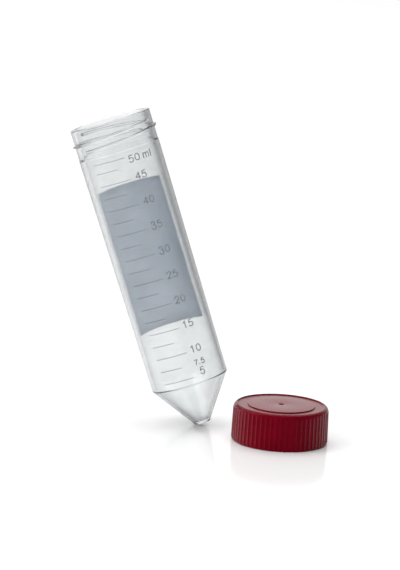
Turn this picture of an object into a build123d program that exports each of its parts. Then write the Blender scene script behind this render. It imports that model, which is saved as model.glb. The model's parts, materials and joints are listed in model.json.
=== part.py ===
from build123d import *

import os
from math import atan, cos, degrees, pi, radians, sin, sqrt, tan

# A 50 ml graduated test tube with a conical bottom, leaning as it is held, with its
# screw cap lying loose on the bench beside the tip.
# Millimetres, +Z up. The origin is the centre of the tube's flat tip.
# Each piece of the tube is modelled upright, its scale facing -Y, then leaned.
# Azimuths on the tube are in degrees from -Y, positive towards +X.

# ---- tube body -------------------------------------------------------------------
tube_length = 115.0
bore_radius = 13.07            # straight from the rim to the cone
neck_wall = 1.73
neck_height = 11.3             # from the rim down to the step
barrel_wall = 1.88             # just under the neck
barrel_foot_wall = 1.08        # where the cone starts: the outside is drafted
cone_wall = 1.1
cone_half_angle = 35.4
tip_top_radius = 3.75
tip_flat_radius = 2.6
tip_side_draft = 0.75          # how much wider the tip is at its top than low down
tip_height = 1.45
tip_edge = 0.3
tip_floor = 1.5                # solid plastic under the inside of the cone
rim_round = 0.4

# ---- screw thread, shared by neck and cap ----------------------------------------
thread_starts = 2
thread_lead = 6.0
thread_turn = 300.0            # degrees that each start runs
ridge_height = 0.8
ridge_base = 1.15
ridge_crest = 0.5
ridge_root = 0.3               # how far a ridge is sunk in its wall
neck_thread_depth = 8.55       # lower end of a ridge, below the rim
neck_thread_azimuth = -50.0    # where the first start begins
thread_clearance = 0.2         # radial, crest to wall

# ---- print on the tube -----------------------------------------------------------
ink = 0.1                      # thicker than real ink, so that it stands clear of the wall
scale_step = 2.5               # ml between lines
scale_first = 5.0              # ml at the lowest line
scale_full = 50.0              # ml at the top line
small_volume = 7.5             # the short line that has a figure too
first_line_rise = 2.72         # the lowest line, above the cone
top_line_drop = 2.35           # the highest a line may stand, under the neck's step
print_skew = 0.04              # degrees towards +X that the scale turns for each mm down
line_width = 0.38
line_left = -35.4
long_line_right = 11.0
short_line_right = -2.6
figure_height = 2.7
figure_width = 1.95
figure_stretch = 1.15          # how much wider a figure is than its strokes below
figure_gap = 0.42
figure_stroke = 0.3
figures_middle = 25.4          # halfway up the tube, as the two lines' ends are
small_figure = 0.76            # the 7.5's height, as a share of the others'
figure_rise = 0.55             # a figure's middle above its line
low_figure_rise = 1.55         # the same for the lowest figure
small_figure_rise = 0.25       # the same for the small one
top_figure_drop = 1.0          # the top figure's middle below its line
unit_gap = 1.35                # between the top figure and ml
top_figure_left = 15.0
panel_from = 123.7
panel_to = 256.0
panel_top_depth = 25.7
panel_length = 53.2

# ---- cap -------------------------------------------------------------------------
cap_height = 12.9              # to the flat between the disc and the crown
cap_wall = 1.3
cap_draft = 0.25               # how much the skirt narrows from its rim to its shoulder
cap_top_thickness = 1.2
crown_width = 1.35             # the raised crown round the top's edge
crown_height = 0.35
crown_slope = 0.4              # how much the crown's inside leans outwards
cap_shoulder = 1.2
cap_edge = 0.3
disc_radius = 12.15
disc_height = 0.4
gate_radius = 1.0
gate_depth = 0.45
rib_count = 60
rib_radius = 0.5
rib_height = 0.2
rib_foot = 0.6                 # plain edge under the ribs
liner_overlap = 0.35           # how far the liner reaches past the neck's outside
liner_thickness = 1.0
liner_clearance = 0.1
liner_gap = 0.05               # between the liner and the cap's ceiling
cap_thread_margin = 0.35       # plain bore under the cap's lower ridge ends

# ---- how the two lie -------------------------------------------------------------
side_lean = 20.2               # towards -X
back_lean = 3.75               # towards +Y
cap_place = (27.6, -16.2)

tube_pose = Rot(Y=-side_lean) * Rot(X=-back_lean)
tube_axis = (tube_pose * Vertex(0, 0, 1)).center()
bench = -tip_flat_radius * sqrt(1 - tube_axis.Z**2)
cap_pose = Pos(cap_place[0], cap_place[1], bench)

neck_radius = bore_radius + neck_wall
barrel_radius = bore_radius + barrel_wall
barrel_foot_radius = bore_radius + barrel_foot_wall
cone_slope = tan(radians(cone_half_angle))
cone_top = tip_height + (barrel_foot_radius - tip_top_radius) / cone_slope
neck_base = tube_length - neck_height


def barrel_outside(height):
    """Outer radius of the barrel at a height above the tip."""
    share = (height - cone_top) / (neck_base - cone_top)
    return barrel_foot_radius + share * (barrel_radius - barrel_foot_radius)


def turned(points, arc=360.0):
    """The solid swept by a profile of (radius, height) points round the axis."""
    corners = [(r, 0, z) for r, z in points]
    return revolve(make_face(Polyline(*corners, close=True)), Axis.Z, revolution_arc=arc)


def at_azimuth(azimuth):
    """Turns what was made along +X to an azimuth of the tube."""
    return Rot(Z=azimuth - 90)


def ridges(wall_radius, outward, lowest):
    """The starts of a thread on a wall, each a right-hand ridge, lowest end at a height."""
    crest = wall_radius + outward * ridge_height
    root = wall_radius - outward * ridge_root
    rise = thread_lead * thread_turn / 360
    path = Helix(thread_lead, rise, wall_radius)
    section_plane = Plane(path @ 0, x_dir=(1, 0, 0), z_dir=path % 0)
    outline = [
        (root - wall_radius, -ridge_base / 2),
        (crest - wall_radius, -ridge_crest / 2),
        (crest - wall_radius, ridge_crest / 2),
        (root - wall_radius, ridge_base / 2),
    ]
    section = section_plane * make_face(Polyline(*outline, close=True))
    ridge = Pos(0, 0, lowest) * sweep(section, path=path, is_frenet=True)
    return [Rot(Z=360 * k / thread_starts) * ridge for k in range(thread_starts)]


def tube_body():
    """The moulded tube: cone, barrel and threaded neck round one hollow."""
    cone_shift = cone_wall / cos(radians(cone_half_angle))
    inner_corner = tip_height + (bore_radius + cone_shift - tip_top_radius) / cone_slope
    floor_radius = tip_top_radius - cone_shift + (tip_floor - tip_height) * cone_slope
    tip_low_radius = tip_top_radius - tip_side_draft
    outside = [
        (0, 0),
        (tip_flat_radius, 0),
        (tip_low_radius, tip_edge),
        (tip_top_radius, tip_height),
        (barrel_foot_radius, cone_top),
        (barrel_radius, neck_base),
        (neck_radius, neck_base),
        (neck_radius, tube_length),
        (0, tube_length),
    ]
    hollow = [
        (0, tip_floor),
        (floor_radius, tip_floor),
        (bore_radius, inner_corner),
        (bore_radius, tube_length),
        (0, tube_length),
    ]
    body = turned(outside) - turned(hollow)
    rim = body.edges().filter_by(GeomType.CIRCLE).group_by(Axis.Z)[-1]
    body = fillet(rim, rim_round)
    start = tube_length - neck_thread_depth
    thread = [at_azimuth(neck_thread_azimuth) * r for r in ridges(neck_radius, 1, start)]
    return body + thread


def band(low, high, from_azimuth, to_azimuth):
    """A patch of ink on the barrel between two heights and two azimuths."""
    outline = [
        (barrel_outside(low), low),
        (barrel_outside(low) + ink, low),
        (barrel_outside(high) + ink, high),
        (barrel_outside(high), high),
    ]
    return at_azimuth(from_azimuth) * turned(outline, to_azimuth - from_azimuth)


def scale_lines():
    """(volume in ml, height) of each line. A step holds its volume in the straight bore."""
    rise = scale_step * 1000 / (pi * bore_radius**2)
    count = round((scale_full - scale_first) / scale_step) + 1
    even = [cone_top + first_line_rise + k * rise for k in range(count)]
    highest = neck_base - top_line_drop
    volumes = [scale_first + k * scale_step for k in range(count)]
    return [(v, min(h, highest)) for v, h in zip(volumes, even) if h < neck_base]


def skewed(height):
    """How far round the tube the scale has turned at a height."""
    return print_skew * (tube_length / 2 - height)


def is_long(volume):
    """Whether a line is one of the long ones, at each 5 ml."""
    return volume % (2 * scale_step) == 0


def graduation_marks():
    """The scale lines: long ones at each 5 ml, short ones between."""
    lines = []
    for volume, height in scale_lines():
        left = line_left + skewed(height)
        right = (long_line_right if is_long(volume) else short_line_right) + skewed(height)
        lines.append(band(height - line_width / 2, height + line_width / 2, left, right))
    return lines


def strokes(figure):
    """Centre lines of one figure or letter, one unit tall: two points a line, three an arc."""
    return {
        "1": [[(0.12, 0.78), (0.36, 1)], [(0.36, 1), (0.36, 0)]],
        "2": [
            [(0.03, 0.72), (0.3, 1), (0.57, 0.72)],
            [(0.57, 0.72), (0.53, 0.58), (0.43, 0.46)],
            [(0.43, 0.46), (0.02, 0)],
            [(0.02, 0), (0.6, 0)],
        ],
        "3": [
            [(0.04, 0.8), (0.5, 0.86), (0.25, 0.54)],
            [(0.25, 0.54), (0.59, 0.27), (0.02, 0.2)],
        ],
        "4": [[(0.45, 0), (0.45, 1)], [(0.45, 1), (0, 0.3)], [(0, 0.3), (0.6, 0.3)]],
        "5": [
            [(0.53, 1), (0.12, 1)],
            [(0.12, 1), (0.06, 0.52)],
            [(0.06, 0.52), (0.59, 0.33), (0.02, 0.17)],
        ],
        "7": [[(0.02, 1), (0.59, 1)], [(0.59, 1), (0.33, 0.54), (0.22, 0)]],
        "m": [
            [(0, 0), (0, 0.72)],
            [(0, 0.5), (0.21, 0.72), (0.42, 0.5)],
            [(0.42, 0.5), (0.42, 0)],
            [(0.42, 0.5), (0.63, 0.72), (0.84, 0.5)],
            [(0.84, 0.5), (0.84, 0)],
        ],
        "l": [[(0, 0), (0, 1)]],
    }[figure]


def widest(figure):
    """How wide a figure is, as a share of the common height."""
    common = figure_width / figure_height
    return {"m": 0.84 * figure_stretch, "l": 0.0, ".": 0.0}.get(figure, common)


def figure_face(figure, size):
    """One figure as a flat face, its lower left corner at the origin."""
    half = figure_stroke / 2
    if figure == "0":
        across, up = figure_width * size / figure_height / 2, size / 2
        ring = Ellipse(across, up) - Ellipse(across - figure_stroke, up - figure_stroke)
        return Pos(across, up) * ring
    if figure == ".":
        return Pos(0, half) * Circle(figure_stroke * 0.7)
    face = Sketch()
    tall = size - figure_stroke
    for points in strokes(figure):
        placed = [(half + x * tall * figure_stretch, half + y * tall) for x, y in points]
        line = Line(*placed) if len(placed) == 2 else ThreePointArc(*placed)
        face += SlotArc(line, figure_stroke)
    return face


def row_width(text, size):
    """How long a row of figures is, round the barrel."""
    widths = [widest(f) * size + (figure_stroke if f in "ml." else 0) for f in text]
    return sum(widths) + figure_gap * (len(text) - 1)


def printed(text, size, left, low, skin):
    """A row of figures wrapped round the barrel: left end at an azimuth, foot at a height."""
    pieces = []
    radius = barrel_outside(low)
    figure_reach = figure_width / 2    # more than the barrel curves away under a figure
    along = 0.0
    for figure in text:
        wide = row_width(figure, size)
        azimuth = radians(left + degrees((along + wide / 2) / radius))
        outward = (sin(azimuth), -cos(azimuth), 0)
        here = (radius * outward[0], radius * outward[1], low)
        front = Plane(here, x_dir=(cos(azimuth), sin(azimuth), 0), z_dir=outward)
        face = front * (Pos(-wide / 2, 0) * figure_face(figure, size))
        pieces += (extrude(face, figure_reach, both=True) & skin).solids()
        along += wide + figure_gap
    return pieces


def volume_figures():
    """The figures beside the long lines, the top one with its unit, and a small 7.5."""
    low, high = cone_top, neck_base
    inner = [(barrel_outside(low), low), (barrel_outside(high), high)]
    skin = turned(inner + [(r + ink, z) for r, z in reversed(inner)])
    shown = [(v, h) for v, h in scale_lines() if is_long(v) or v == small_volume]
    *rows, (top_volume, top_height) = shown
    top_text = f"{top_volume:g}"
    foot = top_height - top_figure_drop - figure_height / 2
    left = top_figure_left + skewed(top_height)
    pieces = printed(top_text, figure_height, left, foot, skin)
    after = degrees((row_width(top_text, figure_height) + unit_gap) / barrel_radius)
    pieces += printed("ml", figure_height, left + after, foot, skin)
    risen = {scale_first: low_figure_rise, small_volume: small_figure_rise}
    for volume, height in rows:
        text = f"{volume:g}"
        size = figure_height * (1 if is_long(volume) else small_figure)
        raised = risen.get(volume, figure_rise)
        foot = height + raised - size / 2
        middle = figures_middle + skewed(height)
        left = middle - degrees(row_width(text, size) / 2 / barrel_outside(foot))
        pieces += printed(text, size, left, foot, skin)
    return pieces


def cap_bore():
    """The radius inside the cap's skirt, clear of the neck's thread."""
    return neck_radius + ridge_height + thread_clearance


def liner_radius():
    """The liner covers the rim and reaches a little past the neck."""
    return neck_radius + liner_overlap


def cap_shell():
    """The ribbed cap, open side down, its rim at height zero."""
    bore = cap_bore()
    skirt = bore + cap_wall
    crown = cap_height + crown_height
    shoulder = crown - cap_shoulder
    ceiling = cap_height - cap_top_thickness
    seat = ceiling - liner_gap - liner_thickness
    seat_radius = liner_radius() + liner_clearance
    side = skirt - cap_draft
    outside = turned([(0, 0), (skirt, 0), (side, crown), (0, crown)])
    outside = fillet(outside.edges().group_by(Axis.Z)[-1], cap_shoulder)
    outside = chamfer(outside.edges().group_by(Axis.Z)[0], cap_edge)
    inside = side - crown_width
    pan = [(0, cap_height), (inside, cap_height), (inside + crown_slope, crown), (0, crown)]
    outside -= turned(pan)
    hollow = turned([(0, 0), (bore, 0), (bore, seat), (0, seat)])
    pocket = turned([(0, seat), (seat_radius, seat), (seat_radius, ceiling), (0, ceiling)])
    lean = degrees(atan(cap_draft / cap_height))
    rib_length = shoulder + cap_shoulder / 4 - rib_foot
    rib = Cylinder(rib_radius, rib_length, align=(Align.CENTER, Align.CENTER, Align.MIN))
    foot = skirt - rib_foot * cap_draft / cap_height + rib_height - rib_radius
    rib = Pos(foot, 0, rib_foot) * Rot(Y=-lean) * rib
    ribs = [Rot(Z=360 * k / rib_count) * rib for k in range(rib_count)]
    top = cap_height + disc_height
    disc_low = cap_height - cap_top_thickness / 2
    disc = turned([(0, disc_low), (disc_radius, disc_low), (disc_radius, top), (0, top)])
    gate = Pos(0, 0, top) * Cylinder(gate_radius, 2 * gate_depth)
    lowest = ridge_base / 2 + cap_thread_margin
    shell = outside + ribs + disc - hollow - pocket - gate
    return shell + ridges(bore, -1, lowest)


def seal_liner():
    """The foam disc held against the cap's ceiling, which the rim presses on."""
    top = cap_height - cap_top_thickness - liner_gap
    low = top - liner_thickness
    radius = liner_radius()
    return turned([(0, low), (radius, low), (radius, top), (0, top)])


def save(name, shape, pose):
    """Writes one piece, or one group of separate pieces, where it lies."""
    solids = [s for item in shape for s in item.solids()] if isinstance(shape, list) else None
    whole = Compound(solids) if solids else shape
    export_step(pose * whole, f"parts/{name}.step")


os.makedirs("parts", exist_ok=True)
low = tube_length - panel_top_depth - panel_length
save("tube", tube_body(), tube_pose)
save("writing_panel", band(low, low + panel_length, panel_from, panel_to), tube_pose)
save("graduation_marks", graduation_marks(), tube_pose)
save("volume_figures", volume_figures(), tube_pose)
save("cap_shell", cap_shell(), cap_pose)
save("seal_liner", seal_liner(), cap_pose)
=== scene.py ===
"""A 50 ml graduated test tube and its ribbed screw cap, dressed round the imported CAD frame.

Each sub-assembly is a class that holds its sizes in millimetres and builds its own pieces.
Heights on the tube are above its flat tip, and azimuths are in degrees from the side that
carries the scale, positive to the right of someone who reads it.
"""

import json
import logging
import math
from collections.abc import Callable
from dataclasses import dataclass, field
from enum import Enum

import bmesh
import bpy
import numpy as np
from mathutils import Matrix, Vector

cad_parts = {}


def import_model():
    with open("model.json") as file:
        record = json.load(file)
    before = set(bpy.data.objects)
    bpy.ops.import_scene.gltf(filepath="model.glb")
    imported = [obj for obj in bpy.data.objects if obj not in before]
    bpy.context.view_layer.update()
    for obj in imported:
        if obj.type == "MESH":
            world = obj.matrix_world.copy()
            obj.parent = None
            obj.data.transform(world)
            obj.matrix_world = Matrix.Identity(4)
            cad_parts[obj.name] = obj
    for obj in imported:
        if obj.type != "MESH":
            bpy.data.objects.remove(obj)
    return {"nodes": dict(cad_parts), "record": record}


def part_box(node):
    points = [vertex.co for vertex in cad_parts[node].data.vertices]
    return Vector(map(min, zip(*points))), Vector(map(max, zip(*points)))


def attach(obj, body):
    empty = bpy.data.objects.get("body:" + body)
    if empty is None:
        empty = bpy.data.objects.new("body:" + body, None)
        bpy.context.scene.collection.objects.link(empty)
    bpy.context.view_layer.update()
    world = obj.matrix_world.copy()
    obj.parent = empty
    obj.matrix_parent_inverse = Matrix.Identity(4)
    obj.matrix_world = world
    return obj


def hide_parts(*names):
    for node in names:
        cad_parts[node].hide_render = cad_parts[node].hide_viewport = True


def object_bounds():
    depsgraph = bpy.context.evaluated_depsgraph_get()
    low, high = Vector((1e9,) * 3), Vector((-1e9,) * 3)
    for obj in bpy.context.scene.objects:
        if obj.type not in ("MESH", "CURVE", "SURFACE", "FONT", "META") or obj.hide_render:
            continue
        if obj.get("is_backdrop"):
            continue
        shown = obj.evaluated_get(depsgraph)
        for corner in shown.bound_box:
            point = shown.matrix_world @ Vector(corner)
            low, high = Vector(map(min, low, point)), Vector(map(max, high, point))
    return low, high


LOG = logging.getLogger("test_tube")
MM = 0.001

Point = tuple[float, float]
Relief = Callable[[np.ndarray, np.ndarray, np.ndarray], np.ndarray]


class LineKind(Enum):
    """The two lengths of scale line: the azimuth at which each one ends."""

    LONG = 11.0
    SHORT = -2.6


# ---- colours and nodes --------------------------------------------------------------


def srgb(code: str) -> tuple[float, float, float, float]:
    """Turns an sRGB hex colour to the linear colour that a shader takes.

    Args:
        code: Six hex digits, red first.

    Returns:
        Linear red, green and blue, and an alpha of 1.
    """
    values = (int(code[i : i + 2], 16) / 255 for i in (0, 2, 4))
    linear = [v / 12.92 if v <= 0.04045 else ((v + 0.055) / 1.055) ** 2.4 for v in values]
    return (linear[0], linear[1], linear[2], 1.0)


def add_node(
    tree: bpy.types.NodeTree,
    kind: str,
    values: dict[str | int, object] | None = None,
    links: dict[str | int, bpy.types.NodeSocket] | None = None,
    **settings: object,
) -> bpy.types.Node:
    """Adds a node with its settings, socket values and incoming links.

    Args:
        tree: The tree to add to.
        kind: The node's type name.
        values: Input socket to its plain value.
        links: Input socket to the output that feeds it.
        **settings: Attributes of the node itself.

    Returns:
        The new node.
    """
    node = tree.nodes.new(kind)
    for name, value in settings.items():
        setattr(node, name, value)
    for socket, value in (values or {}).items():
        node.inputs[socket].default_value = value
    for socket, source in (links or {}).items():
        tree.links.new(source, node.inputs[socket])
    return node


# ---- finishes -----------------------------------------------------------------------


@dataclass(frozen=True)
class Finish:
    """What every finish has: an empty material, and patterns sized in millimetres."""

    def start(self) -> tuple[bpy.types.Material, bpy.types.NodeTree, bpy.types.NodeSocket]:
        """Makes the empty material.

        Returns:
            The material, its tree and the Object coordinates.
        """
        material = bpy.data.materials.new(self.name)
        material.use_nodes = True
        tree = material.node_tree
        tree.nodes.clear()
        place = add_node(tree, "ShaderNodeTexCoord").outputs["Object"]
        return material, tree, place

    def grain(
        self, tree: bpy.types.NodeTree, place: bpy.types.NodeSocket, size: float, detail: float
    ) -> bpy.types.NodeSocket:
        """A noise whose blobs are about a given size.

        Args:
            tree: The material's tree.
            place: Coordinates in metres.
            size: Blob size in millimetres.
            detail: Octaves of finer noise.

        Returns:
            The noise's 0 to 1 output.
        """
        values = {"Scale": 1 / (size * MM), "Detail": detail, "Roughness": 0.55}
        return add_node(tree, "ShaderNodeTexNoise", values, {"Vector": place}).outputs["Fac"]

    def between(
        self,
        tree: bpy.types.NodeTree,
        source: bpy.types.NodeSocket,
        low: float,
        high: float,
    ) -> bpy.types.NodeSocket:
        """Stretches the middle of a noise over a range of values.

        Args:
            tree: The material's tree.
            source: The noise.
            low: The value where the noise is 0.3.
            high: The value where it is 0.7.

        Returns:
            The stretched value.
        """
        values = {"From Min": 0.3, "From Max": 0.7, "To Min": low, "To Max": high}
        return add_node(tree, "ShaderNodeMapRange", values, {"Value": source}).outputs["Result"]

    def blend(
        self,
        tree: bpy.types.NodeTree,
        source: bpy.types.NodeSocket,
        dark: str,
        light: str,
    ) -> bpy.types.NodeSocket:
        """Runs a noise between two colours.

        Args:
            tree: The material's tree.
            source: The noise.
            dark: sRGB hex where the noise is low.
            light: sRGB hex where it is high.

        Returns:
            The colour.
        """
        ramp = add_node(tree, "ShaderNodeValToRGB", links={"Fac": source})
        ends = ramp.color_ramp.elements
        ends[0].position, ends[0].color = 0.3, srgb(dark)
        ends[1].position, ends[1].color = 0.7, srgb(light)
        return ramp.outputs["Color"]

    def bump(
        self, tree: bpy.types.NodeTree, height: bpy.types.NodeSocket, depth: float, strength: float
    ) -> bpy.types.NodeSocket:
        """Turns a height to a bumped normal.

        Args:
            tree: The material's tree.
            height: The 0 to 1 height.
            depth: How deep 1 is, in millimetres.
            strength: How much of it shows.

        Returns:
            The normal.
        """
        values = {"Strength": strength, "Distance": depth * MM}
        return add_node(tree, "ShaderNodeBump", values, {"Height": height}).outputs["Normal"]

    def close(self, tree: bpy.types.NodeTree, shader: bpy.types.NodeSocket) -> bpy.types.Node:
        """Joins a shader to the output, and returns the output."""
        return add_node(tree, "ShaderNodeOutputMaterial", links={"Surface": shader})


@dataclass(frozen=True)
class MouldedPolypropylene(Finish):
    """Injection-moulded polypropylene: see-through, with painted shade that greys its colour where
    it is looked at edge on.

    Loss sets how much light each millimetre of plastic takes, and body the grey it leaves.
    """

    name: str = "Moulded_polypropylene"
    body: str = "8A8D90"
    haze: float = 0.02
    ior: float = 1.49
    loss: float = 0.06

    def make(self) -> bpy.types.Material:
        """Builds the material."""
        material, tree, place = self.start()
        flow = self.grain(tree, place, 9.0, 2.0)
        fine = self.grain(tree, place, 0.9, 3.0)
        # Painted shade: the base colour turns grey where the wall is seen edge on, for the dimmer
        # room seen through the tube's edges.
        facing = add_node(tree, "ShaderNodeLayerWeight", {"Blend": 0.5}).outputs["Facing"]
        edge_on_shade = add_node(
            tree,
            "ShaderNodeMapRange",
            {"From Min": 0.35, "From Max": 0.95},
            {"Value": facing},
            interpolation_type="SMOOTHSTEP",
        ).outputs["Result"]
        painted_edge_tint = add_node(
            tree,
            "ShaderNodeMix",
            {"B": srgb("B9BEC2")},
            {"Factor": edge_on_shade, "A": self.blend(tree, flow, "F2F4F5", "FAFBFB")},
            data_type="RGBA",
        )
        surface = add_node(
            tree,
            "ShaderNodeBsdfPrincipled",
            {"IOR": self.ior, "Transmission Weight": 1 - self.haze},
            {
                "Base Color": painted_edge_tint.outputs["Result"],
                "Roughness": self.between(tree, fine, 0.05, 0.11),
                "Normal": self.bump(tree, flow, 0.05, 0.25),
            },
        )
        grey = srgb(self.body)
        density = self.loss / MM / (1 - grey[0])
        inside = add_node(
            tree, "ShaderNodeVolumeAbsorption", {"Color": grey, "Density": density}
        )
        end = self.close(tree, surface.outputs["BSDF"])
        tree.links.new(inside.outputs["Volume"], end.inputs["Volume"])
        return material


@dataclass(frozen=True)
class ScreenPrint(Finish):
    """Screen-printed ink: matt, with the mesh's fine unevenness.

    A white ink is a thin, frosted layer: through is the share of light that it lets pass.
    """

    name: str = "Scale_ink"
    dark: str = "7E8084"
    light: str = "8A8C90"
    through: float = 0.0

    def make(self) -> bpy.types.Material:
        """Builds the material."""
        material, tree, place = self.start()
        cloud = self.grain(tree, place, 4.0, 3.0)
        mesh = self.grain(tree, place, 0.25, 1.0)
        surface = add_node(
            tree,
            "ShaderNodeBsdfPrincipled",
            {"IOR": 1.5, "Specular IOR Level": 0.3, "Transmission Weight": self.through},
            {
                "Base Color": self.blend(tree, cloud, self.dark, self.light),
                "Roughness": self.between(tree, mesh, 0.7, 0.9),
                "Normal": self.bump(tree, mesh, 0.01, 0.3),
            },
        )
        self.close(tree, surface.outputs["BSDF"])
        return material


@dataclass(frozen=True)
class MouldedPolyethylene(Finish):
    """Deep red high-density polyethylene: satin, waxy, a little uneven in its colour."""

    name: str = "Red_polyethylene"

    def make(self) -> bpy.types.Material:
        """Builds the material."""
        material, tree, place = self.start()
        cloud = self.grain(tree, place, 5.0, 3.0)
        fine = self.grain(tree, place, 0.35, 2.0)
        surface = add_node(
            tree,
            "ShaderNodeBsdfPrincipled",
            # Specular Tint is painted shade: its dark red dims the face-on reflections, for a dim
            # room in front of the cap, while the grazing sheen on the top stays white.
            {"IOR": 1.5, "Specular Tint": srgb("A01828")},
            {
                "Base Color": self.blend(tree, cloud, "660516", "70071A"),
                "Roughness": self.between(tree, fine, 0.2, 0.3),
                "Normal": self.bump(tree, fine, 0.012, 0.35),
            },
        )
        self.close(tree, surface.outputs["BSDF"])
        return material


@dataclass(frozen=True)
class LinerFoam(Finish):
    """Closed-cell polyethylene foam: off-white, dull, with cells about 0.4 mm across."""

    name: str = "Liner_foam"

    def make(self) -> bpy.types.Material:
        """Builds the material."""
        material, tree, place = self.start()
        cells = add_node(
            tree, "ShaderNodeTexVoronoi", {"Scale": 1 / (0.4 * MM)}, {"Vector": place}
        ).outputs["Distance"]
        cloud = self.grain(tree, place, 3.0, 2.0)
        surface = add_node(
            tree,
            "ShaderNodeBsdfPrincipled",
            {"IOR": 1.5, "Specular IOR Level": 0.25},
            {
                "Base Color": self.blend(tree, cloud, "DDDCD6", "EAE9E4"),
                "Roughness": self.between(tree, cloud, 0.75, 0.9),
                "Normal": self.bump(tree, cells, 0.08, 0.5),
            },
        )
        self.close(tree, surface.outputs["BSDF"])
        return material


@dataclass(frozen=True)
class GlossyBench(Finish):
    """White acrylic sheet, polished enough to mirror what stands on it faintly."""

    name: str = "White_acrylic"

    def make(self) -> bpy.types.Material:
        """Builds the material."""
        material, tree, place = self.start()
        cloud = self.grain(tree, place, 60.0, 2.0)
        surface = add_node(
            tree,
            "ShaderNodeBsdfPrincipled",
            {"IOR": 1.4},
            {
                "Base Color": self.blend(tree, cloud, "F6F6F6", "FAFAFA"),
                "Roughness": self.between(tree, cloud, 0.12, 0.16),
            },
        )
        self.close(tree, surface.outputs["BSDF"])
        return material


# ---- mesh building ------------------------------------------------------------------


def rounded(corners: list[tuple[float, float, float]], steps: int = 6) -> list[Point]:
    """Rounds the corners of an open outline.

    Args:
        corners: (radius, height, rounding) of each corner; the two ends stay sharp.
        steps: Pieces that each round is made of.

    Returns:
        The outline's (radius, height) points.
    """
    outline: list[Point] = [corners[0][:2]]
    for before, here, after in zip(corners, corners[1:], corners[2:]):
        at, size = np.array(here[:2]), here[2]
        back, on = np.array(before[:2]) - at, np.array(after[:2]) - at
        back, on = back / np.linalg.norm(back), on / np.linalg.norm(on)
        half = math.acos(max(-1.0, min(1.0, float(back @ on)))) / 2
        if size <= 0 or half > math.radians(89.9):
            outline.append((float(at[0]), float(at[1])))
            continue
        reach = size / math.tan(half)
        middle = at + (back + on) / np.linalg.norm(back + on) * size / math.sin(half)
        first, last = at + back * reach - middle, at + on * reach - middle
        turn = math.pi - 2 * half
        for k in range(steps + 1):
            share = k / steps
            arm = (
                math.sin((1 - share) * turn) * first + math.sin(share * turn) * last
            ) / math.sin(turn)
            outline.append((float(middle[0] + arm[0]), float(middle[1] + arm[1])))
    outline.append(corners[-1][:2])
    return outline


def new_piece(
    name: str, points: np.ndarray, faces: list[tuple[int, ...]], place: Matrix
) -> bpy.types.Object:
    """Makes a smooth closed piece at the origin, with its place in its mesh.

    Args:
        name: The piece's name.
        points: Its points in millimetres, in its own frame.
        faces: Its faces.
        place: Where that frame lies, in metres.

    Returns:
        The new object, linked to the scene.
    """
    mesh = bpy.data.meshes.new(name)
    mesh.from_pydata((points * MM).tolist(), [], faces)
    mesh.transform(place)
    shaped = bmesh.new()
    shaped.from_mesh(mesh)
    bmesh.ops.recalc_face_normals(shaped, faces=shaped.faces)
    shaped.to_mesh(mesh)
    shaped.free()
    mesh.shade_smooth()
    piece = bpy.data.objects.new(name, mesh)
    bpy.context.scene.collection.objects.link(piece)
    return piece


def turned(
    outline: list[Point], segments: int, relief: Relief | None = None
) -> tuple[np.ndarray, list[tuple[int, ...]]]:
    """Turns an outline that starts and ends on the axis into a closed skin.

    Args:
        outline: (radius, height) points; the first and last are on the axis.
        segments: Steps round the axis.
        relief: Adds to the radius, from the azimuths, the heights and the row numbers.

    Returns:
        The points in millimetres, and the faces.
    """
    rows = np.array(outline[1:-1])
    azimuth = np.arange(segments) * 2 * math.pi / segments
    radius = np.repeat(rows[:, :1], segments, axis=1)
    height = np.repeat(rows[:, 1:], segments, axis=1)
    if relief:
        number = np.repeat(np.arange(len(rows))[:, None], segments, axis=1)
        radius = radius + relief(np.degrees(azimuth)[None, :] + 0 * radius, height, number)
    skin = np.stack([radius * np.sin(azimuth), -radius * np.cos(azimuth), height], axis=-1)
    ends = np.array([[0.0, 0.0, outline[0][1]], [0.0, 0.0, outline[-1][1]]])
    points = np.concatenate([ends, skin.reshape(-1, 3)])
    faces: list[tuple[int, ...]] = []
    last = 2 + (len(rows) - 1) * segments
    for k in range(segments):
        n = (k + 1) % segments
        faces.append((0, 2 + n, 2 + k))
        faces.append((1, last + k, last + n))
    for row in range(len(rows) - 1):
        low, high = 2 + row * segments, 2 + (row + 1) * segments
        faces += [
            (low + k, low + (k + 1) % segments, high + (k + 1) % segments, high + k)
            for k in range(segments)
        ]
    return points, faces


def smooth_step(value: np.ndarray) -> np.ndarray:
    """Eases a 0 to 1 ramp in and out, clipped at both ends."""
    held = np.clip(value, 0.0, 1.0)
    return held * held * (3 - 2 * held)


@dataclass
class ScrewThread:
    """The ridges that neck and cap share: a two-start right-hand thread."""

    starts: int = 2
    lead: float = 6.0
    turn: float = 300.0
    height: float = 0.8
    base: float = 1.15
    crest: float = 0.5
    lower_fade: float = 12.0
    upper_fade: float = 14.0

    def relief(
        self, azimuth: np.ndarray, height: np.ndarray, first: float, lowest: float
    ) -> np.ndarray:
        """How far the ridges stand out of their wall.

        Args:
            azimuth: In degrees.
            height: In millimetres.
            first: The azimuth at which the first start begins.
            lowest: The height of a ridge's middle where it begins.

        Returns:
            The ridge height at each point.
        """
        most = np.zeros_like(height)
        flank = (self.base - self.crest) / 2
        for start in range(self.starts):
            begin = first + 360 * start / self.starts
            run = (azimuth - begin) % 360
            for lap in (run, run - 360):
                middle = lowest + self.lead * lap / 360
                side = smooth_step((self.base / 2 - np.abs(height - middle)) / flank)
                ends = smooth_step(lap / self.lower_fade)
                ends = ends * smooth_step((self.turn - lap) / self.upper_fade)
                most = np.maximum(most, self.height * side * ends)
        return most


# ---- the tube -----------------------------------------------------------------------


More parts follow.
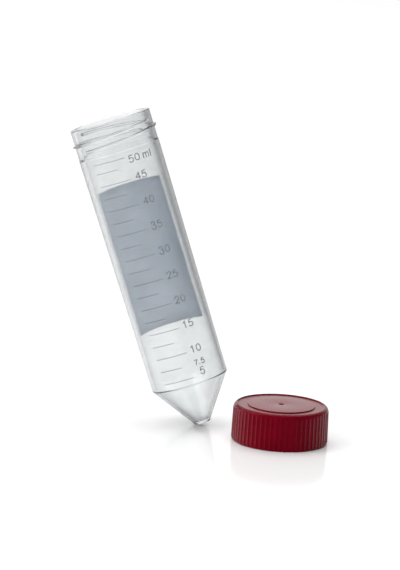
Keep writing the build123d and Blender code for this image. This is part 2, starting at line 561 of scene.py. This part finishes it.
@dataclass
class TubeShape:
    """The moulded tube's own sizes, which the prints on it follow too."""

    length: float = 115.0
    bore: float = 13.07
    neck_wall: float = 1.73
    neck_height: float = 11.3
    barrel_wall: float = 1.88
    foot_wall: float = 1.08
    cone_wall: float = 1.1
    cone_half_angle: float = 35.4
    tip_top: float = 3.75
    tip_low: float = 3.0
    tip_flat: float = 2.6
    tip_height: float = 1.45
    tip_edge: float = 0.3
    tip_floor: float = 1.5

    @property
    def slope(self) -> float:
        """How much the cone widens for each millimetre of height."""
        return math.tan(math.radians(self.cone_half_angle))

    @property
    def foot(self) -> Point:
        """(radius, height) of the outside corner between cone and barrel."""
        radius = self.bore + self.foot_wall
        return radius, self.tip_height + (radius - self.tip_top) / self.slope

    @property
    def step(self) -> float:
        """The height of the neck's step."""
        return self.length - self.neck_height

    def outside(self, height: float) -> float:
        """The barrel's outer radius at a height."""
        radius, low = self.foot
        share = (height - low) / (self.step - low)
        return radius + share * (self.barrel_wall - self.foot_wall)


@dataclass
class Tube:
    """The clear tube: cone, barrel and threaded neck round one straight bore."""

    shape: TubeShape
    place: Matrix
    thread: ScrewThread = field(default_factory=ScrewThread)
    thread_depth: float = 8.55
    thread_azimuth: float = -50.0
    row_pitch: float = 0.11
    segments: int = 240
    rim_round: float = 0.4
    shoulder_round: float = 0.9

    def build(self, plastic: bpy.types.Material) -> bpy.types.Object:
        """Builds the tube.

        Args:
            plastic: Its material.

        Returns:
            The piece.
        """
        s = self.shape
        foot_radius, foot_height = s.foot
        neck = s.bore + s.neck_wall
        shift = s.cone_wall / math.cos(math.radians(s.cone_half_angle))
        inner_corner = s.tip_height + (s.bore + shift - s.tip_top) / s.slope
        floor = s.tip_top - shift + (s.tip_floor - s.tip_height) * s.slope
        below = rounded(
            [
                (0.0, 0.0, 0.0),
                (s.tip_flat, 0.0, 0.15),
                (s.tip_low, s.tip_edge, 0.25),
                (s.tip_top, s.tip_height, 0.35),
                (foot_radius, foot_height, self.shoulder_round),
                (s.outside(s.step), s.step - 0.2, 0.2),
                (neck, s.step + 0.15, 0.2),
                (neck, s.step + 0.4, 0.0),
            ]
        )
        rows = np.arange(s.step + 0.5, s.length - 1.0, self.row_pitch)
        above = rounded(
            [
                (neck, s.length - 0.9, 0.0),
                (neck, s.length, self.rim_round),
                (s.bore, s.length, self.rim_round),
                (s.bore, inner_corner, self.shoulder_round),
                (floor, s.tip_floor, 0.8),
                (0.0, s.tip_floor, 0.0),
            ]
        )
        outline = below + [(neck, float(z)) for z in rows] + above
        first, last = len(below) - 1, len(below) + len(rows) - 1

        def ridges(azimuth: np.ndarray, height: np.ndarray, number: np.ndarray) -> np.ndarray:
            """The thread's ridges, on the neck's outside only."""
            lowest = s.length - self.thread_depth
            raised = self.thread.relief(azimuth, height, self.thread_azimuth, lowest)
            return np.where((number >= first - 1) & (number <= last), raised, 0.0)

        points, faces = turned(outline, self.segments, ridges)
        piece = new_piece("clear_tube", points, faces, self.place)
        piece.data.materials.append(plastic)
        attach(piece, "tube")
        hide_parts("tube")
        return piece


@dataclass
class WritingPanel:
    """The white patch printed on the back of the barrel.

    A hair of air, gap, keeps the ink's skin out of the tube's own.
    """

    shape: TubeShape
    place: Matrix
    ink: float = 0.1
    gap: float = 0.01
    start: float = 123.7
    end: float = 256.0
    top_depth: float = 25.7
    length: float = 53.2
    across: int = 88
    along: int = 12

    def build(self, ink: bpy.types.Material) -> bpy.types.Object:
        """Builds the panel as a closed patch that follows the barrel.

        Args:
            ink: Its material.

        Returns:
            The piece.
        """
        low = self.shape.length - self.top_depth - self.length
        azimuth = np.radians(np.linspace(self.start, self.end, self.across + 1))
        height = np.linspace(low, low + self.length, self.along + 1)
        wall = np.array([self.shape.outside(z) for z in height])
        sheets = []
        for off in (self.gap, self.ink):
            radius = (wall + off)[:, None]
            x, y = radius * np.sin(azimuth), -radius * np.cos(azimuth)
            sheets.append(np.stack([x, y, height[:, None] + 0 * x], axis=-1).reshape(-1, 3))
        points = np.concatenate(sheets)
        wide, tall = self.across + 1, self.along + 1
        grid = np.arange(wide * tall).reshape(tall, wide)
        faces: list[tuple[int, ...]] = []
        for row in range(self.along):
            for k in range(self.across):
                quad = (grid[row, k], grid[row, k + 1], grid[row + 1, k + 1], grid[row + 1, k])
                faces.append(tuple(int(v) for v in quad))
                faces.append(tuple(int(v) + wide * tall for v in reversed(quad)))
        edge = [*grid[0, :-1], *grid[:-1, -1], *grid[-1, :0:-1], *grid[:0:-1, 0]]
        for a, b in zip(edge, edge[1:] + edge[:1]):
            faces.append((int(b), int(a), int(a) + wide * tall, int(b) + wide * tall))
        piece = new_piece("printed_panel", points, faces, self.place)
        piece.data.materials.append(ink)
        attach(piece, "tube")
        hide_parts("writing_panel")
        return piece


def tree_with(name: str, inputs: dict[str, tuple[str, object]]) -> bpy.types.NodeTree:
    """Starts a geometry tree with named inputs.

    Args:
        name: The tree's name.
        inputs: Input name to its socket type and its value.

    Returns:
        The tree, with a Geometry input and output besides.
    """
    tree = bpy.data.node_groups.new(name, "GeometryNodeTree")
    face = tree.interface
    face.new_socket("Geometry", in_out="INPUT", socket_type="NodeSocketGeometry")
    for label, (kind, value) in inputs.items():
        socket = face.new_socket(label, in_out="INPUT", socket_type=kind)
        if value is not None:
            socket.default_value = value
    face.new_socket("Geometry", in_out="OUTPUT", socket_type="NodeSocketGeometry")
    return tree


def grown(
    piece: bpy.types.Object, tree: bpy.types.NodeTree, values: dict[str, object]
) -> bpy.types.Object:
    """Runs a geometry tree on a piece and keeps the result as its plain mesh.

    Args:
        piece: The object whose mesh the tree starts from.
        tree: The tree.
        values: Input name to the value it gets.

    Returns:
        The same object, with the new mesh and no modifier.
    """
    modifier = piece.modifiers.new(tree.name, "NODES")
    modifier.node_group = tree
    sockets = {s.name: s.identifier for s in tree.interface.items_tree if s.in_out == "INPUT"}
    for label, value in values.items():
        modifier[sockets[label]] = value
    ready = piece.evaluated_get(bpy.context.evaluated_depsgraph_get())
    mesh = bpy.data.meshes.new_from_object(ready)
    mesh.name = piece.name
    piece.modifiers.remove(modifier)
    piece.data = mesh
    return piece


@dataclass
class ScaleLines:
    """The printed lines, one for each 2.5 ml that the straight bore holds.

    The print stands a little askew: it turns by skew degrees for each millimetre down.
    """

    shape: TubeShape
    place: Matrix
    ink: float = 0.1
    sunk: float = 0.03
    width: float = 0.38
    left: float = -35.4
    step_volume: float = 2.5
    count: int = 19
    first_rise: float = 2.72
    top_drop: float = 2.35
    skew: float = 0.04

    def tree(self, ink: bpy.types.Material) -> bpy.types.NodeTree:
        """Builds the tree that makes and places the lines.

        Args:
            ink: The lines' material.

        Returns:
            The geometry tree.
        """
        inputs = {
            name: ("NodeSocketFloat", 0.0)
            for name in (
                "Pitch", "First Height", "Highest", "Foot Height", "Foot Radius",
                "Radius Slope", "Line Width", "Ink Thickness", "Ink Sunk", "Left",
                "Long Sweep", "Short Sweep", "Unturned Height", "Skew",
            )
        }
        inputs["Count"] = ("NodeSocketInt", 0)
        tree = tree_with("Scale_lines", inputs)
        given = add_node(tree, "NodeGroupInput").outputs

        def sum_of(
            operation: str, *terms: bpy.types.NodeSocket | float
        ) -> bpy.types.NodeSocket:
            """One Math node."""
            node = add_node(tree, "ShaderNodeMath", operation=operation)
            for slot, term in enumerate(terms):
                if isinstance(term, bpy.types.NodeSocket):
                    tree.links.new(term, node.inputs[slot])
                else:
                    node.inputs[slot].default_value = term
            return node.outputs[0]

        number = add_node(tree, "GeometryNodeInputIndex").outputs[0]
        even = sum_of("MULTIPLY_ADD", number, given["Pitch"], given["First Height"])
        height = sum_of("MINIMUM", even, given["Highest"])
        radius = sum_of(
            "MULTIPLY_ADD",
            sum_of("SUBTRACT", height, given["Foot Height"]),
            given["Radius Slope"],
            given["Foot Radius"],
        )
        spot = add_node(tree, "ShaderNodeCombineXYZ", links={"Z": height}).outputs[0]
        points = add_node(
            tree, "GeometryNodePoints", links={"Count": given["Count"], "Position": spot}
        ).outputs[0]
        kept = add_node(
            tree,
            "GeometryNodeStoreNamedAttribute",
            {"Name": "wall"},
            {"Geometry": points, "Value": radius},
            domain="POINT",
            data_type="FLOAT",
        ).outputs[0]
        section = add_node(
            tree,
            "GeometryNodeCurvePrimitiveQuadrilateral",
            links={"Width": given["Line Width"], "Height": given["Ink Thickness"]},
        ).outputs[0]
        lines = []
        for sweep in ("Long Sweep", "Short Sweep"):
            arc = add_node(
                tree,
                "GeometryNodeCurveArc",
                {"Resolution": 28},
                {
                    "Radius": given["Foot Radius"],
                    "Start Angle": given["Left"],
                    "Sweep Angle": given[sweep],
                },
            ).outputs[0]
            strip = add_node(
                tree,
                "GeometryNodeCurveToMesh",
                {"Fill Caps": True},
                {"Curve": arc, "Profile Curve": section},
            ).outputs[0]
            lines.append(strip)
        both = add_node(tree, "GeometryNodeGeometryToInstance")
        for strip in reversed(lines):
            tree.links.new(strip, both.inputs[0])
        wall = add_node(
            tree, "GeometryNodeInputNamedAttribute", {"Name": "wall"}, data_type="FLOAT"
        ).outputs[0]
        centre = sum_of("MULTIPLY_ADD", given["Ink Thickness"], 0.5, wall)
        grow = sum_of("DIVIDE", sum_of("SUBTRACT", centre, given["Ink Sunk"]), given["Foot Radius"])
        size = add_node(
            tree, "ShaderNodeCombineXYZ", {"Z": 1.0}, {"X": grow, "Y": grow}
        ).outputs[0]
        above = sum_of("SUBTRACT", given["Unturned Height"], height)
        turn = sum_of("MULTIPLY", above, given["Skew"])
        skewed = add_node(tree, "ShaderNodeCombineXYZ", links={"Z": turn}).outputs[0]
        placed = add_node(
            tree,
            "GeometryNodeInstanceOnPoints",
            {"Pick Instance": True},
            {
                "Points": kept,
                "Instance": both.outputs[0],
                "Instance Index": sum_of("MODULO", number, 2.0),
                "Rotation": skewed,
                "Scale": size,
            },
        ).outputs[0]
        real = add_node(tree, "GeometryNodeRealizeInstances", links={"Geometry": placed})
        inked = add_node(
            tree, "GeometryNodeSetMaterial", {"Material": ink}, {"Geometry": real.outputs[0]}
        )
        add_node(tree, "NodeGroupOutput", links={"Geometry": inked.outputs[0]})
        return tree

    def build(self, ink: bpy.types.Material) -> bpy.types.Object:
        """Builds the lines.

        Args:
            ink: Their material.

        Returns:
            The piece.
        """
        s = self.shape
        foot_radius, foot_height = s.foot
        slope = (s.barrel_wall - s.foot_wall) / (s.step - foot_height)
        pitch = self.step_volume * 1000 / (math.pi * s.bore**2)
        blank = bpy.data.objects.new("scale_lines", bpy.data.meshes.new("scale_lines"))
        bpy.context.scene.collection.objects.link(blank)
        facing = math.radians(self.left - 90)
        piece = grown(
            blank,
            self.tree(ink),
            {
                "Count": self.count,
                "Pitch": pitch * MM,
                "First Height": (foot_height + self.first_rise) * MM,
                "Highest": (s.step - self.top_drop) * MM,
                "Foot Height": foot_height * MM,
                "Foot Radius": foot_radius * MM,
                "Radius Slope": slope,
                "Line Width": self.width * MM,
                "Ink Thickness": (self.ink + self.sunk) * MM,
                "Ink Sunk": self.sunk * MM,
                "Left": facing,
                "Long Sweep": math.radians(LineKind.LONG.value - self.left),
                "Short Sweep": math.radians(LineKind.SHORT.value - self.left),
                "Unturned Height": s.length / 2 * MM,
                "Skew": math.radians(self.skew) / MM,
            },
        )
        piece.data.transform(self.place)
        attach(piece, "tube")
        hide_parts("graduation_marks")
        return piece


# ---- the cap ------------------------------------------------------------------------


@dataclass
class ScrewCap:
    """The ribbed cap, open side down, with the neck's thread inside."""

    neck: float
    place: Matrix
    thread: ScrewThread = field(default_factory=ScrewThread)
    height: float = 12.9
    wall: float = 1.3
    draft: float = 0.25
    top_thickness: float = 1.2
    clearance: float = 0.2
    edge: float = 0.3
    crown: float = 15.5
    crown_height: float = 0.35
    shoulder: float = 1.2
    disc: float = 12.15
    disc_height: float = 0.4
    gate: float = 1.0
    gate_depth: float = 0.45
    thread_margin: float = 0.35
    liner: float = 15.15
    liner_thickness: float = 1.0
    liner_clearance: float = 0.1
    liner_gap: float = 0.05
    rib_count: int = 60
    rib_height: float = 0.2
    rib_foot: float = 0.6
    rib_top: float = 0.35
    rib_fade: float = 0.7
    thread_azimuth: float = 90.0
    segments: int = 480
    row_pitch: float = 0.16

    @property
    def bore(self) -> float:
        """The inner radius of the skirt, clear of the neck's thread."""
        return self.neck + self.thread.height + self.clearance

    @property
    def ceiling(self) -> float:
        """The height of the cap's inner top."""
        return self.height - self.top_thickness

    @property
    def seat(self) -> float:
        """The height at which the liner's pocket starts."""
        return self.ceiling - self.liner_gap - self.liner_thickness

    def outline(self) -> tuple[list[Point], int, int, int]:
        """The cap's outline, from the gate mark outwards, down, and back up inside.

        Returns:
            The points, the number of the first and the last row that may carry ribs, and
            the number of the first row inside.
        """
        skirt = self.bore + self.wall
        side = skirt - self.draft
        top = self.height + self.disc_height
        brow = self.height + self.crown_height
        crown = rounded(
            [
                (0.0, top - self.gate_depth + 0.2, 0.0),
                (0.3, top - self.gate_depth + 0.2, 0.1),
                (0.5, top - self.gate_depth, 0.1),
                (self.gate - 0.05, top - self.gate_depth, 0.1),
                (self.gate, top, 0.08),
                (self.disc - 0.08, top, 0.12),
                (self.disc, self.height, 0.1),
                (self.crown, self.height, 0.15),
                (self.crown + 0.35, brow, 0.3),
                (side, brow, self.shoulder),
                (side + 0.02, brow - self.shoulder - 0.5, 0.0),
            ]
        )
        down = np.linspace(brow - self.shoulder - 0.6, self.edge + 0.25, 30)
        flank = [(skirt - self.draft * float(z) / self.height, float(z)) for z in down]
        lip = rounded(
            [
                (skirt, self.edge + 0.1, 0.0),
                (skirt, self.edge, 0.15),
                (skirt - self.edge, 0.0, 0.12),
                (self.bore + 0.15, 0.0, 0.12),
                (self.bore, 0.25, 0.1),
                (self.bore, 0.35, 0.0),
            ],
            4,
        )
        pocket = self.liner + self.liner_clearance
        up = np.arange(0.45, self.seat - 0.15, self.row_pitch)
        inside = [(self.bore, float(z)) for z in up]
        roof = rounded(
            [
                (self.bore, self.seat - 0.1, 0.0),
                (self.bore, self.seat, 0.05),
                (pocket, self.seat, 0.05),
                (pocket, self.ceiling, 0.15),
                (0.0, self.ceiling, 0.0),
            ],
            4,
        )
        shoulder_rows = 8
        first = len(crown) - shoulder_rows
        last = len(crown) + len(flank) - 1
        return crown + flank + lip + inside + roof, first, last, last + len(lip)

    def ribs(self, plastic: bpy.types.Material) -> bpy.types.NodeTree:
        """Builds the tree that raises the ribs out of the skirt.

        Args:
            plastic: The cap's material.

        Returns:
            The geometry tree.
        """
        tree = tree_with(
            "Moulded_ribs",
            {
                "Rib Count": ("NodeSocketInt", 0),
                "Rib Height": ("NodeSocketFloat", 0.0),
                "Centre": ("NodeSocketVector", None),
            },
        )
        given = add_node(tree, "NodeGroupInput").outputs
        spot = add_node(tree, "GeometryNodeInputPosition").outputs[0]
        arm = add_node(
            tree,
            "ShaderNodeVectorMath",
            links={0: spot, 1: given["Centre"]},
            operation="SUBTRACT",
        ).outputs[0]
        flat = add_node(
            tree,
            "ShaderNodeVectorMath",
            {1: (1.0, 1.0, 0.0)},
            {0: arm},
            operation="MULTIPLY",
        ).outputs[0]
        out = add_node(
            tree, "ShaderNodeVectorMath", links={0: flat}, operation="NORMALIZE"
        ).outputs[0]
        part = add_node(tree, "ShaderNodeSeparateXYZ", links={0: out}).outputs
        angle = add_node(
            tree, "ShaderNodeMath", links={0: part["Y"], 1: part["X"]}, operation="ARCTAN2"
        ).outputs[0]
        wave = add_node(
            tree,
            "ShaderNodeMath",
            links={0: angle, 1: given["Rib Count"]},
            operation="MULTIPLY",
        ).outputs[0]
        crest = add_node(tree, "ShaderNodeMath", links={0: wave}, operation="COSINE").outputs[0]
        share = add_node(
            tree,
            "ShaderNodeMapRange",
            {"From Min": 0.1, "From Max": 0.95},
            {"Value": crest},
            interpolation_type="SMOOTHSTEP",
        ).outputs["Result"]
        room = add_node(
            tree, "GeometryNodeInputNamedAttribute", {"Name": "rib_room"}, data_type="FLOAT"
        ).outputs[0]
        raised = add_node(
            tree, "ShaderNodeMath", links={0: share, 1: room}, operation="MULTIPLY"
        ).outputs[0]
        far = add_node(
            tree,
            "ShaderNodeMath",
            links={0: raised, 1: given["Rib Height"]},
            operation="MULTIPLY",
        ).outputs[0]
        shift = add_node(
            tree, "ShaderNodeVectorMath", links={0: out, "Scale": far}, operation="SCALE"
        ).outputs[0]
        moved = add_node(
            tree,
            "GeometryNodeSetPosition",
            links={"Geometry": given["Geometry"], "Offset": shift},
        )
        real = add_node(tree, "GeometryNodeRealizeInstances", links={"Geometry": moved.outputs[0]})
        dressed = add_node(
            tree, "GeometryNodeSetMaterial", {"Material": plastic}, {"Geometry": real.outputs[0]}
        )
        add_node(tree, "NodeGroupOutput", links={"Geometry": dressed.outputs[0]})
        return tree

    def build(self, plastic: bpy.types.Material) -> bpy.types.Object:
        """Builds the cap.

        Args:
            plastic: Its material.

        Returns:
            The piece.
        """
        outline, first, last, inner = self.outline()
        lowest = self.thread.base / 2 + self.thread_margin

        def ridges(azimuth: np.ndarray, height: np.ndarray, number: np.ndarray) -> np.ndarray:
            """The thread's ridges, on the inside of the skirt only."""
            raised = self.thread.relief(azimuth, height, self.thread_azimuth, lowest)
            on_wall = (number >= inner - 1) & (height < self.seat - 0.1)
            return np.where(on_wall, -raised, 0.0)

        points, faces = turned(outline, self.segments, ridges)
        piece = new_piece("ribbed_cap", points, faces, self.place)
        rows = np.arange(len(outline) - 2)
        heights = np.array(outline[1:-1])[:, 1]
        top = self.height + self.crown_height - self.shoulder + self.rib_top
        room = smooth_step((heights - self.rib_foot + 0.15) / 0.3)
        room = room * smooth_step((top - heights) / self.rib_fade)
        room = np.where((rows >= first) & (rows < last), room, 0.0)
        spread = np.concatenate([[0.0, 0.0], np.repeat(room, self.segments)])
        kept = piece.data.attributes.new("rib_room", "FLOAT", "POINT")
        kept.data.foreach_set("value", spread.astype(np.float32))
        grown(
            piece,
            self.ribs(plastic),
            {
                "Rib Count": self.rib_count,
                "Rib Height": self.rib_height * MM,
                "Centre": tuple(self.place.translation),
            },
        )
        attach(piece, "cap")
        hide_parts("cap_shell")
        return piece


@dataclass
class SealLiner:
    """The foam disc against the cap's ceiling."""

    cap: ScrewCap
    edge: float = 0.12
    segments: int = 120

    def build(self, foam: bpy.types.Material) -> bpy.types.Object:
        """Builds the liner.

        Args:
            foam: Its material.

        Returns:
            The piece.
        """
        top = self.cap.ceiling - self.cap.liner_gap
        low = top - self.cap.liner_thickness
        dent = self.cap.neck - 0.9
        outline = rounded(
            [
                (0.0, top, 0.0),
                (self.cap.liner, top, self.edge),
                (self.cap.liner, low, self.edge),
                (dent + 0.9, low, 0.3),
                (dent + 0.3, low + 0.1, 0.3),
                (dent - 0.3, low + 0.1, 0.3),
                (dent - 0.9, low, 0.3),
                (0.0, low, 0.0),
            ],
            4,
        )
        points, faces = turned(outline, self.segments)
        piece = new_piece("foam_liner", points, faces, self.cap.place)
        piece.data.materials.append(foam)
        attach(piece, "liner")
        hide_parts("seal_liner")
        return piece


# ---- the studio ---------------------------------------------------------------------


@dataclass
class Studio:
    """The bench, the light and the camera."""

    bench: float
    middle: Vector
    bench_size: float = 16.0
    lens: float = 196.8
    sensor: float = 36.0
    distance: float = 1129.2
    elevation: float = 11.45
    roll: float = 3.325
    aim: tuple[float, float, float] = (0.43, 14.68, -7.13)

    def floor(self, sheet: bpy.types.Material) -> None:
        """Lays the bench top at the height that the cap rests on."""
        half = self.bench_size / 2
        corners = [(-half, -half), (half, -half), (half, half), (-half, half)]
        mesh = bpy.data.meshes.new("bench_top")
        mesh.from_pydata([(x, y, self.bench) for x, y in corners], [], [(0, 1, 2, 3)])
        mesh.materials.append(sheet)
        top = bpy.data.objects.new("bench_top", mesh)
        bpy.context.scene.collection.objects.link(top)
        top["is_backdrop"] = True

    def softbox(
        self, name: str, place: tuple[float, float, float], size: float, power: float
    ) -> None:
        """Hangs a square soft light that looks at the tube.

        Args:
            name: The light's name.
            place: Its place from the object's middle, in metres.
            size: Its side, in metres.
            power: In watts.
        """
        lamp = bpy.data.lights.new(name, "AREA")
        lamp.shape, lamp.size, lamp.energy = "SQUARE", size, power
        light = bpy.data.objects.new(name, lamp)
        light.location = self.middle + Vector(place)
        light.rotation_euler = (-Vector(place)).to_track_quat("-Z", "Y").to_euler()
        bpy.context.scene.collection.objects.link(light)

    def sky(self) -> None:
        """A white room: bright above and behind, dimmer where the camera stands."""
        world = bpy.data.worlds.new("White_room")
        world.use_nodes = True
        tree = world.node_tree
        tree.nodes.clear()
        way = add_node(tree, "ShaderNodeTexCoord").outputs["Generated"]
        parts = add_node(tree, "ShaderNodeSeparateXYZ", links={0: way}).outputs
        depth = add_node(
            tree,
            "ShaderNodeMapRange",
            {"From Min": -0.6, "From Max": 0.5, "To Min": 0.75, "To Max": 1.2},
            {"Value": parts["Y"]},
            interpolation_type="SMOOTHSTEP",
        ).outputs["Result"]
        side = add_node(
            tree,
            "ShaderNodeMapRange",
            {"From Min": -0.2, "From Max": 0.9, "To Min": 1.05, "To Max": 0.15},
            {"Value": parts["X"]},
            interpolation_type="SMOOTHSTEP",
        ).outputs["Result"]
        room = add_node(tree, "ShaderNodeMath", links={0: depth, 1: side}, operation="MULTIPLY")
        seen = add_node(tree, "ShaderNodeLightPath").outputs["Is Camera Ray"]
        level = add_node(
            tree,
            "ShaderNodeMix",
            {"B": 1.1},
            {"Factor": seen, "A": room.outputs[0]},
            data_type="FLOAT",
        ).outputs["Result"]
        glow = add_node(
            tree, "ShaderNodeBackground", {"Color": srgb("FFFFFF")}, {"Strength": level}
        )
        add_node(tree, "ShaderNodeOutputWorld", links={"Surface": glow.outputs[0]})
        bpy.context.scene.world = world

    def camera(self) -> None:
        """Sets the camera: its height over the bench, its small roll and its long lens."""
        lift, tilt = math.radians(self.elevation), math.radians(self.roll)
        ahead = Vector((0.0, math.cos(lift), -math.sin(lift)))
        level = Vector((1.0, 0.0, 0.0))
        upright = level.cross(ahead)
        right = math.cos(tilt) * level + math.sin(tilt) * upright
        up = math.cos(tilt) * upright - math.sin(tilt) * level
        turn = Matrix((right, up, -ahead)).transposed().to_4x4()
        place = self.middle + Vector(self.aim) * MM - ahead * self.distance * MM
        data = bpy.data.cameras.new("camera")
        data.lens, data.sensor_width = self.lens, self.sensor
        data.clip_start, data.clip_end = 0.05, 50.0
        view = bpy.data.objects.new("camera", data)
        view.matrix_world = Matrix.Translation(place) @ turn
        bpy.context.scene.collection.objects.link(view)
        bpy.context.scene.camera = view

    def build(self) -> None:
        """Sets up everything round the object."""
        self.floor(GlossyBench().make())
        self.softbox("left_softbox", (-0.9, -0.35, 0.7), 0.8, 5.0)
        self.softbox("top_softbox", (0.1, 0.3, 1.3), 1.2, 8.0)
        self.sky()
        self.camera()
        bpy.context.scene.view_settings.view_transform = "Standard"


# ---- putting it together ------------------------------------------------------------


def tube_place(record: dict) -> Matrix:
    """The tube's own frame: tip at the origin, axis up the barrel, scale towards -Y.

    Args:
        record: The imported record.

    Returns:
        The frame's matrix in the row frame.
    """
    mounts = {mount["name"]: mount for mount in record["mounts"]}
    up = Vector(mounts["barrel"]["axis"]).normalized()
    right = Vector((up.z, 0.0, -up.x)).normalized()
    back = up.cross(right)
    turn = Matrix((right, back, up)).transposed().to_4x4()
    return Matrix.Translation(Vector(mounts["tip_face"]["pos_m"])) @ turn


def cap_place() -> Matrix:
    """The cap's own frame: on its axis, at its rim."""
    low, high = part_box("cap_shell")
    middle = (Vector(low) + Vector(high)) / 2
    return Matrix.Translation(Vector((middle.x, middle.y, low[2])))


def main() -> None:
    """Builds the tube, its prints, its cap and the studio, in that order."""
    logging.basicConfig(level=logging.INFO, format="%(name)s: %(message)s")
    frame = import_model()
    cad_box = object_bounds()
    shape = TubeShape()
    place = tube_place(frame["record"])
    scale_ink = ScreenPrint().make()
    pieces = [
        Tube(shape, place).build(MouldedPolypropylene().make()),
        WritingPanel(shape, place).build(ScreenPrint("Panel_ink", "E4ECF6", "ECF2F9", 0.72).make()),
        ScaleLines(shape, place).build(scale_ink),
    ]
    figures = frame["nodes"]["volume_figures"]
    for slot in figures.material_slots:
        slot.material = scale_ink
    cap = ScrewCap(shape.bore + shape.neck_wall, cap_place())
    pieces.append(cap.build(MouldedPolyethylene().make()))
    pieces.append(SealLiner(cap).build(LinerFoam().make()))
    for piece in pieces:
        LOG.info("%s: %d faces", piece.name, len(piece.data.polygons))
    low, high = cad_box
    Studio(cap_place().translation.z, (Vector(low) + Vector(high)) / 2).build()


if __name__ == "__main__":
    main()
